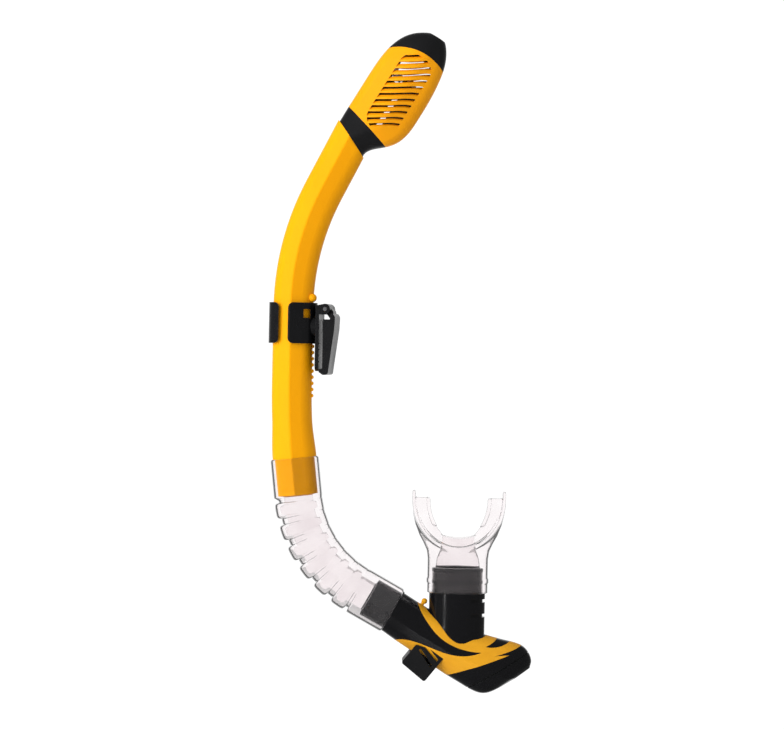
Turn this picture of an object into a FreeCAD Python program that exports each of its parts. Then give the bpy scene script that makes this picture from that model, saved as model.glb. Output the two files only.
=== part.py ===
"""Dry-top snorkel with a flexible drop-away hose: one STEP file per piece.

Millimetres, +Z up. The barrel's straight stretch, where the mask keeper clips on, is the datum:
its centre line is the Z axis and the origin is the middle of the keeper. +X points towards the
wearer's head and mouthpiece, and the whole snorkel bends in the XZ plane. Y is its depth.

Every curve of the tube is planar, so a place on it is a point (x, z) and a heading: the angle
from +Z towards +X, which is a turn about +Y.
"""
import FreeCAD
import Part
import math
import os

from FreeCAD import Placement, Rotation, Vector

Y_AXIS = Vector(0, 1, 0)
FAR = 200.0                     # larger than anything that is cut

# ---- the tube's ridged section -------------------------------------------------------------
BARREL_W, BARREL_D = 26.0, 25.0           # barrel outside, in the plane of the bend and across it
RIDGE_SHIFT = -0.06                       # ridge offset to the outside of the bend, share of width
OUTER_FLAT, INNER_FLAT = 29.0, 19.0       # slope of the flats beside the ridge, degrees
FLATS = (OUTER_FLAT, INNER_FLAT)
RIDGE_R = 2.0                             # rounding of the ridge itself
BORE_R = 9.9                              # airway

# ---- the barrel's path -----------------------------------------------------------------------
STRAIGHT_LOW, STRAIGHT_TOP = -40.0, 10.0  # the keeper's straight stretch
UPPER_BEND_R, UPPER_BEND = 170.0, 26.85
UPPER_STRAIGHT = 37.5
LOWER_BEND_R, LOWER_BEND = 420.0, 6.5
SPIGOT_LEN = 24.0                         # straight end that the hose grips
SPIGOT_W = 28.6                           # tube ends that take a hose cuff
GROOVE_DEPTH = 1.6
BARREL_GROOVES = ((-20.5, -15.4), (-10.8, -4.4))  # retaining grooves, from the spigot's shoulder
FLARE_TURN = 3.0                          # the barrel widens to the spigot over the rest of the lower bend
RACK_PITCH, RACK_TOOTH_R, RACK_LEN = 4.0, 1.25, 6.0
RACK_LOW, RACK_TOP = -51.0, 9.0
STOP_R, STOP_STEM_R = 2.8, 2.0            # knob over the keeper that ends its travel
STOP_AT, STOP_ROOT = (12.4, -5.6, 16.4), (9.6, -4.4, 16.2)

# ---- the hose --------------------------------------------------------------------------------
HOSE_R, HOSE_TURN = 78.0, 54.65
HOSE_W = 32.0
HOSE_LOBES = 6
HOSE_NECK = 2.0                           # straight run between barrel end and first lobe
CUFF_GAP = 0.3                            # hose cuff to tube end
CUFF_LEN = 26.0                           # lower cuff
SOCKET_START = 8.7                        # the chamber's tube end starts here inside the cuff
INLET_GROOVES = ((-7.6, -2.8), (-14.4, -10.4))    # from the chamber's tube end
WAIST_W, WAIST_D, WAIST_SHIFT = 29.0, 29.4, 1.3   # hose between its lobes
LOBE_LEAD, LOBE_SHARE = 0.14, 0.74        # where a lobe starts and how long it is, in pitches

# ---- the head of the dry top -----------------------------------------------------------------
HEAD_TURN = 31.0
HEAD_WALL = 1.8
COLLAR_LOW_TILT = -24.7                   # the collar's lower and upper joints, against the head
COLLAR_TOP_TILT, COLLAR_TOP_U = -15.5, 13.4
STACK_R, STACK_BORE = 8.9, 7.4            # air stack that ends in the valve seat
PLUG_R, PLUG_LEN = 9.68, 14.0             # part of the base that enters the barrel
SEAL_Z, SEAL_R, SEAL_WIRE = -10.0, 9.15, 0.72
SEAL_GROOVE_R, SEAL_GROOVE_W = 8.4, 2.4
SEAT_U = 46.0
LEVER_PIN = (12.2, 51.5)
LEVER_PIN_R = 1.25
LEVER_OPEN = 20.0
PUSH_ARM = 8.5
NUB_R = 1.5                               # round end of the lever that rides on the float
FLAP_R = 8.6
EAR = (                                   # outline (x, z, radius) of the two ears that hold the lever's pin
    (3.2, 36.0, 0),
    (14.9, 43.8, 1.5),
    (14.9, 54.2, 2.4),
    (9.6, 54.2, 2.4),
    (8.4, 45.4, 0),
    (3.2, 45.4, 0),
)
EAR_IN, EAR_OUT = 6.6, 8.6                # the ears' inner and outer faces, from the middle
PIVOT_GAP = 0.06                          # radial running clearance on every pin

# ---- the lower chamber -----------------------------------------------------------------------
CHAMBER_TILT = 90.0 - LOWER_BEND - HOSE_TURN
SKIN = 0.9                                # depth of the soft accent in the chamber wall
CHAMBER_WALL = 2.6
MOUTH_X = 64.6                            # mouth tube axis from the chamber's datum, along +X
MOUTH_A, MOUTH_B = 18.2, 12.6             # mouth tube half axes
MOUTH_WALL = 2.2
MOUTH_SHOULDER = -0.4                     # top of the full-size tube, from the chamber's datum
MOUTH_TOP = 15.8                          # top of the spigot
MOUTH_LOW = -40.0                         # the tube is drawn down to here, well inside the chamber
MOUTH_RINGS = (MOUTH_TOP - 2.2, MOUTH_TOP - 10.0)
GRIP_NOTCHES = (-5.0, -14.4)              # heights of the two finger notches on the tube's outer side

# ---- the mask keeper -------------------------------------------------------------------------
KEEPER_H = 26.4
KEEPER_GAP = 0.3
KEEPER_T = 2.4
KEEPER_MOUTH = (-9.2, -3.0)               # the clip is open between these on its front
BUCKLE_TURN = 10.0                        # the buckle faces this much to the front
BUCKLE_HALF_W = 9.0
SWIVEL_Z = -2.0
SWIVEL_R = 2.5
PLATE_IN, PLATE_OUT = 16.5, 18.9
GATE_IN = 21.5
GATE_HINGE = (22.6, 9.3)
GATE_HINGE_R = 3.4
GATE_PIN_R = 1.3
HINGE_IN, KNUCKLE_HALF = 5.4, 5.1         # the plate's ears start and the gate's knuckle ends here
STRAP_RIBS = (-25.0, -21.0, -17.0, -13.0) # heights of the ribs that grip the strap


# ---- general helpers -------------------------------------------------------------------------
def at(x, z, heading=0.0):
    """Local frame at (x, z) whose Z axis has that heading."""
    return Placement(Vector(x, 0, z), Rotation(Y_AXIS, heading))


def placed(shape, frame):
    copy = shape.copy()
    copy.Placement = frame.multiply(copy.Placement)
    return copy


def rounded(points):
    """Closed wire in the XY plane through corners (x, y, radius), each corner an arc."""
    edges = []
    ends = []
    count = len(points)
    for i, (x, y, r) in enumerate(points):
        here = Vector(x, y, 0)
        back = Vector(*points[i - 1][:2], 0) - here
        on = Vector(*points[(i + 1) % count][:2], 0) - here
        back.normalize()
        on.normalize()
        if r <= 0:
            ends.append((here, here))
            continue
        half = back.getAngle(on) / 2
        reach = r / math.tan(half)
        middle = back + on
        middle.normalize()
        top = here + middle * (r / math.sin(half) - r)
        ends.append((here + back * reach, here + on * reach))
        edges.append(Part.Arc(ends[-1][0], top, ends[-1][1]).toShape())
    for i in range(count):
        a, b = ends[i][1], ends[(i + 1) % count][0]
        if (b - a).Length > 1e-6:
            edges.append(Part.makeLine(a, b))
    return Part.Wire(Part.__sortEdges__(edges))


def ridged(width, depth, centre=0.0, shift=RIDGE_SHIFT, flats=FLATS, ridge_r=RIDGE_R):
    """The tube's section in XY: two round sides joined by flats that meet in a front and a back ridge."""
    ridge_x = centre + shift * width
    corners = []
    for side, flat in ((1, flats[1]), (-1, flats[0])):
        slope = math.radians(flat)
        apex = ridge_x + side * depth / 2 / math.tan(slope)
        edge = centre + side * width / 2
        r = abs(apex - edge) / (1 / math.sin(slope) - 1)
        corners.append((apex, 0.0, r))
    front, back = ((ridge_x, side * depth / 2, ridge_r) for side in (-1, 1))
    return rounded([corners[0], back, corners[1], front])


def disc(radius, centre=(0, 0)):
    return Part.Wire(Part.makeCircle(radius, Vector(centre[0], centre[1], 0)))


def oval(a, b, z=0.0):
    """Ellipse with half axes a along X and b along Y, at height z."""
    if a >= b:
        return Part.Wire(Part.Ellipse(Vector(0, 0, z), a, b).toShape())
    turned = Part.Wire(Part.Ellipse(Vector(0, 0, 0), b, a).toShape())
    turned.rotate(Vector(0, 0, 0), Vector(0, 0, 1), 90)
    turned.translate(Vector(0, 0, z))
    return turned


def prism(wire, low, high):
    """The XY wire as a solid from height low to high."""
    face = Part.Face(wire)
    face.translate(Vector(0, 0, low))
    return face.extrude(Vector(0, 0, high - low))


def slab(points, half_depth, low_y=None):
    """Corners (x, z, radius) in the XZ plane, as a solid from -half_depth (or low_y) to half_depth in Y."""
    low = -half_depth if low_y is None else low_y
    face = Part.Face(rounded(points))
    face.rotate(Vector(0, 0, 0), Vector(1, 0, 0), 90)
    face.translate(Vector(0, low, 0))
    return face.extrude(Vector(0, half_depth - low, 0))


def block(x0, x1, y0, y1, z0, z1):
    return Part.makeBox(x1 - x0, y1 - y0, z1 - z0, Vector(x0, y0, z0))


def rod(radius, start, end):
    along = end - start
    return Part.makeCylinder(radius, along.Length, start, along)


def half_space(x, z, heading):
    """Everything above the plane through (x, z) whose normal has that heading."""
    return placed(block(-FAR, FAR, -FAR, FAR, 0, FAR), at(x, z, heading))


def sweep_arc(face, frame, radius, turn):
    """face, drawn in XY, turned about an axis along Y that lies radius along the local +X."""
    solid = face.copy()
    solid = solid.revolve(Vector(radius, 0, 0), Y_AXIS, turn)
    return placed(solid, frame)


def step(frame, length):
    return frame.multiply(Placement(Vector(0, 0, length), Rotation()))


def turn_about(frame, radius, angle):
    """The frame reached along an arc whose centre lies radius along the local +X."""
    spin = Placement(Vector(0, 0, 0), Rotation(Y_AXIS, angle), Vector(radius, 0, 0))
    return frame.multiply(spin)


def fused(shapes):
    whole = shapes[0].multiFuse(shapes[1:]) if len(shapes) > 1 else shapes[0]
    return whole.removeSplitter()


def softened(shape, radius, wanted):
    """Fillets the edges that wanted(edge) picks, leaving the shape as it is if the kernel can't."""
    edges = [e for e in shape.Edges if wanted(e)]
    try:
        done = shape.makeFillet(radius, edges)
        if done.isValid() and done.Volume > 0:
            return done
    except Part.OCCError:
        pass
    print("not filleted:", radius, len(edges))
    return shape


def shell_with_lip(form, wall, beyond, gap, lip):
    """Part of a thin shell beyond a joint, with a lip that enters its neighbour's open end.

    form(inset) is the solid outer form taken in by inset, and beyond(d) is all that lies d past the joint.
    """
    inside, deep = wall + 0.1, wall + 1.3
    shell = form(0).cut(form(wall)).common(beyond(gap))
    band = form(wall - 0.6).cut(form(deep)).common(beyond(gap)).cut(beyond(gap + lip))
    tongue = form(inside).cut(form(deep)).common(beyond(-lip)).cut(beyond(gap + 0.5))
    return fused([shell, band, tongue])


# ---- frames of the assemblies ----------------------------------------------------------------
LOW_BEND = at(0, STRAIGHT_LOW)
ARC_TOP = turn_about(at(0, STRAIGHT_TOP), UPPER_BEND_R, UPPER_BEND)
BARREL_TOP = step(ARC_TOP, UPPER_STRAIGHT)
SPIGOT_TOP = turn_about(LOW_BEND, LOWER_BEND_R, -LOWER_BEND)
BARREL_END = step(SPIGOT_TOP, -SPIGOT_LEN)
HOSE_START = step(BARREL_END, -HOSE_NECK)
HOSE_END = turn_about(HOSE_START, HOSE_R, -HOSE_TURN)
HEAD = at(BARREL_TOP.Base.x, BARREL_TOP.Base.z, HEAD_TURN)
# In the chamber's frame X runs along the tube away from the hose and Z towards the mouthpiece.
CHAMBER = at(HOSE_END.Base.x, HOSE_END.Base.z, CHAMBER_TILT)
MOUTH = at(HOSE_END.Base.x + MOUTH_X, HOSE_END.Base.z)
BUCKLE = Placement(Vector(0, 0, 0), Rotation(Vector(0, 0, 1), -BUCKLE_TURN))


# ---- barrel ----------------------------------------------------------------------------------
def grooved_spigot(low, high, grooves):
    """Tube end for a hose cuff, from height low to high, with its retaining grooves."""
    spigot = prism(ridged(SPIGOT_W, SPIGOT_W - 1), low, high)
    core = ridged(SPIGOT_W - 2 * GROOVE_DEPTH, SPIGOT_W - 1 - 2 * GROOVE_DEPTH)
    ring = Part.Face([ridged(SPIGOT_W + 4, SPIGOT_W + 3), core])
    for start, end in grooves:
        groove = ring.copy()
        groove.translate(Vector(0, 0, start))
        spigot = spigot.cut(groove.extrude(Vector(0, 0, end - start)))
    return spigot


def barrel():
    outer = Part.Face(ridged(BARREL_W, BARREL_D))
    pieces = [
        placed(outer.extrude(Vector(0, 0, STRAIGHT_TOP - STRAIGHT_LOW)), at(0, STRAIGHT_LOW)),
        sweep_arc(outer, at(0, STRAIGHT_TOP), UPPER_BEND_R, UPPER_BEND),
        placed(outer.extrude(Vector(0, 0, UPPER_STRAIGHT + 20)), ARC_TOP),
    ]
    pieces.append(sweep_arc(outer, LOW_BEND, LOWER_BEND_R, -FLARE_TURN))
    wires = []
    for share in (0.0, 0.2, 0.5, 0.8, 1.0):
        turn = FLARE_TURN + (LOWER_BEND - FLARE_TURN) * share
        ease = share * share * (3 - 2 * share)
        width = BARREL_W + (SPIGOT_W - BARREL_W) * ease
        frame = turn_about(LOW_BEND, LOWER_BEND_R, -turn)
        wires.append(placed(ridged(width, width - 1), frame))
    pieces.append(Part.makeLoft(wires, True, False))
    pieces.append(placed(grooved_spigot(-SPIGOT_LEN, 0, BARREL_GROOVES), SPIGOT_TOP))
    tube = fused(pieces)

    bore = Part.Face(disc(BORE_R))
    straight = Vector(0, 0, STRAIGHT_TOP - STRAIGHT_LOW)
    tube = tube.cut(placed(bore.extrude(straight), at(0, STRAIGHT_LOW)))
    tube = tube.cut(sweep_arc(bore, at(0, STRAIGHT_TOP), UPPER_BEND_R, UPPER_BEND))
    tube = tube.cut(placed(bore.extrude(Vector(0, 0, UPPER_STRAIGHT + 30)), ARC_TOP))
    tube = tube.cut(sweep_arc(bore, LOW_BEND, LOWER_BEND_R, -LOWER_BEND))
    tube = tube.cut(placed(bore.extrude(Vector(0, 0, -SPIGOT_LEN - 2)), SPIGOT_TOP))
    tube = tube.cut(half_space(HEAD.Base.x, HEAD.Base.z, HEAD_TURN - COLLAR_LOW_TILT))

    teeth = []
    z = RACK_TOP
    while z > RACK_LOW:
        drift = max(0.0, STRAIGHT_LOW - z)
        x = BARREL_W / 2 - 0.15 + drift * drift / 2 / LOWER_BEND_R
        teeth.append(rod(RACK_TOOTH_R, Vector(x, -RACK_LEN / 2, z), Vector(x, RACK_LEN / 2, z)))
        z -= RACK_PITCH
    bore_keep = Part.makeCylinder(BORE_R + 0.8, FAR, Vector(0, 0, -FAR / 2))
    stop = Part.makeSphere(STOP_R, Vector(*STOP_AT))
    stop = stop.fuse(rod(STOP_STEM_R, Vector(*STOP_ROOT), Vector(*STOP_AT)))
    return fused([tube] + [t.cut(bore_keep) for t in teeth + [stop]])


# ---- dry top ---------------------------------------------------------------------------------
HEAD_STATIONS = (                         # height, left edge, right edge, depth
    (-14.0, -12.4, 12.4, 25.0),
    (-6.0, -12.2, 12.6, 25.4),
    (1.0, -12.2, 15.0, 26.6),
    (7.0, -12.4, 21.4, 28.6),
    (13.0, -12.5, 26.4, 30.2),
    (21.0, -12.5, 29.4, 31.4),
    (34.0, -12.5, 30.3, 32.0),
    (50.0, -12.3, 30.0, 32.0),
    (61.0, -11.2, 28.9, 31.2),
    (70.0, -8.6, 27.2, 29.4),
    (77.0, -4.6, 24.6, 26.0),
    (82.0, 0.6, 21.6, 20.5),
    (85.5, 6.4, 18.4, 12.0),
)
SEAM = ((-10.4, 63.2), (7.0, 70.8), (28.4, 68.0))
SLOT_COUNT, SLOT_PITCH, SLOT_W = 12, 4.7, 2.2
SLOT_ARC_R = 34.0
SLOT_RISE = 0.8                           # the louvres climb inwards by this much per mm
SLOT_FIELD = (11.2, 40.6, 21.8, 56.0, 9.0)  # centre, size and corner radius


def head_body(inset):
    """The dry top's outer form in the head's frame, every section taken in by inset."""
    wires = []
    for height, left, right, depth in HEAD_STATIONS:
        share = min(1.0, max(0.0, (height + 6.0) / 20.0))
        wire = ridged(
            right - left - 2 * inset,
            depth - 2 * inset,
            centre=(left + right) / 2,
            shift=RIDGE_SHIFT * (1 - share),
            flats=(OUTER_FLAT - 5 * share, INNER_FLAT + 5 * share),
            ridge_r=RIDGE_R * (1 - share) + (depth / 2 - inset) * share,
        )
        wire.translate(Vector(0, 0, height - (inset if height > 80 else 0)))
        wires.append(wire)
    return Part.makeLoft(wires, True, False)


def above_seam(lift=0.0):
    """Everything over the curved joint between the vented housing and the cap."""
    low, mid, end = (Vector(x, 0, z + lift) for x, z in SEAM)
    out = (Vector(-60, 0, low.z - 38), Vector(90, 0, end.z - 30))
    edges = [
        Part.makeLine(out[0], low),
        Part.Arc(low, mid, end).toShape(),
        Part.makeLine(end, out[1]),
        Part.makeLine(out[1], Vector(90, 0, 160)),
        Part.makeLine(Vector(90, 0, 160), Vector(-60, 0, 160)),
        Part.makeLine(Vector(-60, 0, 160), out[0]),
    ]
    face = Part.Face(Part.Wire(edges))
    face.translate(Vector(0, -FAR / 2, 0))
    return face.extrude(Vector(0, FAR, 0))


def collar_top(lift=0.0):
    return placed(block(-FAR, FAR, -FAR, FAR, 0, FAR), at(0, COLLAR_TOP_U + lift, -COLLAR_TOP_TILT))


def vent_housing():
    shell = head_body(0).cut(head_body(HEAD_WALL))
    shell = shell.common(collar_top(0.05)).cut(above_seam())
    cx, cz, width, height, corner = SLOT_FIELD
    field = slab(
        [
            (cx - width / 2, cz - height / 2, corner),
            (cx + width / 2, cz - height / 2, corner),
            (cx + width / 2, cz + height / 2, corner),
            (cx - width / 2, cz + height / 2, corner),
        ],
        FAR / 2,
    )
    up = Vector(-math.sin(math.radians(HEAD_TURN)), 0, math.cos(math.radians(HEAD_TURN)))
    face_y = HEAD_STATIONS[7][3] / 2
    slots = []
    for side in (-1, 1):
        # The back's louvres lie half a pitch lower, so that no line of sight passes straight through.
        shift = 0.0 if side < 0 else -SLOT_PITCH / 2
        for i in range(SLOT_COUNT):
            apex = Vector(cx, 0, cz + (i - (SLOT_COUNT - 1) / 2) * SLOT_PITCH + shift)
            centre = apex - up * SLOT_ARC_R + Vector(0, side * (face_y + 1), 0)
            inward = Vector(0, -side, 0) + up * SLOT_RISE
            slots.append(louvre(centre - up * SLOT_RISE, up, inward * 12).common(field))
    return shell.cut(slots)


def louvre(centre, up, sweep):
    """Arched slot, crown up, swept along the given slant through the shell."""
    reach = math.radians(40)
    rims = []
    for radius in (SLOT_ARC_R - SLOT_W / 2, SLOT_ARC_R + SLOT_W / 2):
        points = []
        for angle in (-reach, 0, reach):
            spun = Rotation(Y_AXIS, math.degrees(angle)).multVec(up)
            points.append(centre + spun * radius)
        rims.append(points)
    low, high = rims
    edges = [
        Part.Arc(*low).toShape(),
        Part.makeLine(low[2], high[2]),
        Part.Arc(*reversed(high)).toShape(),
        Part.makeLine(high[0], low[0]),
    ]
    return Part.Face(Part.Wire(edges)).extrude(sweep)


def top_cap():
    return shell_with_lip(head_body, HEAD_WALL, above_seam, 0.15, 2.5)


def seal_groove():
    """Ring cut in the base's plug, in the barrel top's frame."""
    low = Vector(0, 0, SEAL_Z - SEAL_GROOVE_W / 2)
    ring = Part.makeCylinder(PLUG_R + 1, SEAL_GROOVE_W, low)
    return ring.cut(Part.makeCylinder(SEAL_GROOVE_R, SEAL_GROOVE_W, low))


def stack_airway():
    """Bore of the plug and the stack, in the head's frame, with a gentle bend from one to the other."""
    bend_r, bend = 60.0, HEAD_TURN - UPPER_BEND
    reach = bend_r * math.tan(math.radians(bend / 2))
    start = HEAD.inverse().multiply(step(BARREL_TOP, -reach))
    low = placed(prism(disc(STACK_BORE), -20, 0), start)
    elbow = sweep_arc(Part.Face(disc(STACK_BORE)), start, bend_r, bend)
    return fused([low, elbow, prism(disc(STACK_BORE), reach, SEAT_U + 1)])


def dry_top_base():
    outer = head_body(0)
    outer = outer.cut(collar_top())
    below = half_space(0, 0, -COLLAR_LOW_TILT)
    body = outer.common(below)
    inside = head_body(HEAD_WALL + 0.1).common(collar_top(-0.5)).cut(collar_top(2.0))
    rim = inside.cut(head_body(HEAD_WALL + 1.4))
    stack = prism(disc(STACK_R), 7, SEAT_U)
    ear = slab(EAR, EAR_OUT, EAR_IN)
    ears = [ear, ear.mirror(Vector(0, 0, 0), Y_AXIS)]
    plug = placed(placed(prism(disc(PLUG_R), -PLUG_LEN, 7), BARREL_TOP), HEAD.inverse())
    groove = placed(placed(seal_groove(), BARREL_TOP), HEAD.inverse())
    whole = fused([body, rim, stack, plug] + ears)
    whole = whole.cut(stack_airway()).cut(groove)
    pin_x, pin_z = LEVER_PIN
    whole = whole.cut(rod(LEVER_PIN_R, Vector(pin_x, -20, pin_z), Vector(pin_x, 20, pin_z)))
    return whole


def base_seal():
    return placed(Part.makeTorus(SEAL_R, SEAL_WIRE, Vector(0, 0, SEAL_Z)), BARREL_TOP)


def lever_pin():
    x, z = LEVER_PIN
    return rod(LEVER_PIN_R, Vector(x, -EAR_OUT, z), Vector(x, EAR_OUT, z))


def opened(shape):
    """From the closed position, drawn level, to the open one at rest."""
    x, z = LEVER_PIN
    shape = shape.copy()
    shape.rotate(Vector(x, 0, z), Y_AXIS, LEVER_OPEN)
    return shape


def valve_lever():
    x, z = LEVER_PIN
    boss = rod(2.9, Vector(x, -5.8, z), Vector(x, 5.8, z))
    plate = block(-5.6, x, -4.5, 4.5, SEAT_U + 2.3, SEAT_U + 4.3)
    hub = Part.makeCylinder(5.0, 2.0, Vector(0, 0, SEAT_U + 2.3))
    arm = block(x, x + PUSH_ARM, -3.0, 3.0, z - 1.3, z + 1.3)
    nub = rod(NUB_R, Vector(x + PUSH_ARM, -4.0, z), Vector(x + PUSH_ARM, 4.0, z))
    hole = rod(LEVER_PIN_R + PIVOT_GAP, Vector(x, -10, z), Vector(x, 10, z))
    rivet_hole = Part.makeCylinder(1.5, 10, Vector(0, 0, SEAT_U))
    return opened(fused([boss, plate, hub, arm, nub]).cut(hole).cut(rivet_hole))


def seal_flap():
    pad = Part.makeCylinder(FLAP_R, 2.1, Vector(0, 0, SEAT_U + 0.1))
    pad = softened(pad, 0.6, lambda e: abs(e.BoundBox.ZMax - SEAT_U - 0.1) < 1e-3)
    stem = Part.makeCylinder(1.45, 2.3, Vector(0, 0, SEAT_U + 2.0))
    button = Part.makeCone(2.3, 1.2, 1.3, Vector(0, 0, SEAT_U + 4.3))
    return opened(fused([pad, stem, button]))


def float_block():
    """Foam block under the lever's round end, which it lifts as it rises."""
    body = head_body(HEAD_WALL + 1.4)
    nub_drop = PUSH_ARM * math.sin(math.radians(LEVER_OPEN))
    top = LEVER_PIN[1] - nub_drop - NUB_R - 0.14
    room = slab([(12.4, 17.0, 2.0), (40, 17.0, 0), (40, top, 0), (12.4, top, 2.0)], FAR / 2)
    ear_room = block(0, 15.6, -9.2, 9.2, 37.6, FAR)
    return body.common(room).cut(ear_room)


# ---- hose ------------------------------------------------------------------------------------
def flex_hose():
    lobe = Part.Face(ridged(HOSE_W, HOSE_W - 1))
    waist = Part.Face(ridged(WAIST_W, WAIST_D, centre=WAIST_SHIFT))
    bore = Part.Face(disc(BORE_R + 0.6))
    pieces = [sweep_arc(waist, HOSE_START, HOSE_R, -HOSE_TURN)]
    pitch = HOSE_TURN / HOSE_LOBES
    for i in range(HOSE_LOBES):
        start = turn_about(HOSE_START, HOSE_R, -pitch * (i + LOBE_LEAD))
        pieces.append(sweep_arc(lobe, start, HOSE_R, -pitch * LOBE_SHARE))
    top_cuff = lobe.extrude(Vector(0, 0, SPIGOT_LEN + HOSE_NECK))
    pieces.append(placed(top_cuff, HOSE_START))
    low_cuff = lobe.extrude(Vector(0, 0, -CUFF_LEN))
    pieces.append(placed(low_cuff, HOSE_END))
    hose = fused(pieces)
    socket = Part.Face(ridged(SPIGOT_W + 2 * CUFF_GAP, SPIGOT_W - 1 + 2 * CUFF_GAP))
    high = step(BARREL_END, -CUFF_GAP)
    hose = hose.cut(placed(socket.extrude(Vector(0, 0, SPIGOT_LEN + 5)), high))
    low = step(HOSE_END, -SOCKET_START + CUFF_GAP)
    hose = hose.cut(placed(socket.extrude(Vector(0, 0, -CUFF_LEN)), low))
    hose = hose.cut(sweep_arc(bore, HOSE_START, HOSE_R, -HOSE_TURN))
    hose = hose.cut(placed(bore.extrude(Vector(0, 0, HOSE_NECK + 1)), HOSE_START))
    return hose.cut(placed(bore.extrude(Vector(0, 0, -SOCKET_START - 1)), HOSE_END))


# ---- chamber ---------------------------------------------------------------------------------
CHAMBER_STATIONS = (                      # (low x, low z), (high x, high z), depth
    ((26.3, -14.8), (26.3, 13.7), 27.7),
    ((30.0, -15.1), (30.0, 13.4), 27.8),
    ((44.0, -16.2), (44.0, 12.8), 28.4),
    ((60.0, -17.4), (61.0, 13.6), 29.4),
    ((76.0, -18.7), (80.0, 15.4), 30.8),
    ((88.0, -19.0), (97.0, 19.4), 31.6),
    ((96.5, -19.0), (109.0, 22.3), 31.4),
    ((102.0, -18.0), (113.8, 21.7), 29.6),
    ((106.2, -15.4), (118.0, 19.4), 26.0),
    ((109.7, -11.0), (120.8, 16.2), 20.0),
    ((112.6, -6.2), (121.9, 12.4), 12.0),
)
COVER_SEAM = ((92.6, -19.0), (115.6, 20.8))
DUCT = ((49.8, -10.8, 0.8), (70.4, -5.8, 0.8), (66.4, -29.0, 1.5), (47.3, -25.6, 1.5))
DUCT_HALF_D = 12.2
DUCT_WALL = 1.6
DUCT_SLOTS = (((53.4, -12.2), (65.4, -18.2)), ((55.8, -8.4), (67.0, -13.0)))
DUCT_SLOT_W = 1.7
VALVE_X, VALVE_SEAT = 57.6, -18.0
VALVE_PORT_R, VALVE_DISC_R = 5.2, 7.0


def chamber_body(inset):
    """The chamber's outer form in its own frame, every section taken in by inset."""
    wires = []
    for (x0, z0), (x1, z1), depth in CHAMBER_STATIONS:
        width = math.hypot(x1 - x0, z1 - z0)
        wire = ridged(
            width - 2 * inset,
            depth - 2 * inset,
            ridge_r=min(RIDGE_R, depth / 8),
            flats=(OUTER_FLAT - 3, INNER_FLAT),
        )
        lean = math.degrees(math.atan2(x1 - x0, z1 - z0))
        middle = at((x0 + x1) / 2 - (inset if x0 > 110 else 0), (z0 + z1) / 2, lean - 90)
        wires.append(placed(wire, middle))
    return Part.makeLoft(wires, True, False)


def cover_side(gap=0.0):
    """Everything on the far side of the joint between chamber and sump cover."""
    (x0, z0), (x1, z1) = COVER_SEAM
    lean = math.degrees(math.atan2(x1 - x0, z1 - z0))
    frame = at(x0 + gap, z0, lean + 90)
    return placed(block(-FAR, FAR, -FAR, FAR, 0, FAR), frame)


def mouth_tube(inset, low, high):
    """Oval tube body in the chamber's frame, from low to high measured from the datum."""
    shape = prism(oval(MOUTH_A - inset, MOUTH_B - inset), low, high)
    return placed(placed(shape, MOUTH), CHAMBER.inverse())


FLAME = (                                 # curves of the soft accent's outline, in the chamber's frame
    ((38.0, 18.0), (41.7, 13.8), (51.3, 9.9), (64.8, 7.0), (76.0, 8.2), (84.0, 13.0), (88.0, 20.0)),
    ((94.4, 22.0), (92.8, 15.6), (89.6, 10.3)),
    ((89.6, 10.3), (96.8, 14.2), (103.0, 24.0)),
    ((112.0, 26.0), (105.1, 15.9), (94.1, 5.0)),
    ((94.1, 5.0), (99.8, 9.6), (105.6, 13.1)),
    ((105.6, 13.1), (97.3, 3.5), (83.5, -11.6), (74.0, -22.0)),
    ((34.0, -20.0), (39.4, -13.3), (49.8, -9.3), (70.3, -5.7), (80.3, -1.6), (89.1, 5.9)),
    ((89.1, 5.9), (76.0, 1.2), (61.1, 1.0), (49.8, 5.0), (39.6, 11.1), (34.0, 16.4)),
)


def flame_prism():
    """The accent's outline seen from the side, as a solid through the whole chamber."""
    edges = []
    for i, curve in enumerate(FLAME):
        points = [Vector(x, 0, z) for x, z in curve]
        last = Vector(FLAME[i - 1][-1][0], 0, FLAME[i - 1][-1][1])
        if (points[0] - last).Length > 1e-6:
            edges.append(Part.makeLine(last, points[0]))
        spline = Part.BSplineCurve()
        spline.interpolate(points)
        edges.append(spline.toShape())
    face = Part.Face(Part.Wire(edges))
    face.validate()
    face.translate(Vector(0, -FAR / 2, 0))
    return face.extrude(Vector(0, FAR, 0))


def duct_outside():
    return slab([(x, z, r) for x, z, r in DUCT], DUCT_HALF_D)


def seat_boss(radius, low, high):
    return Part.makeCylinder(radius, high - low, Vector(VALVE_X, 0, low))


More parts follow.
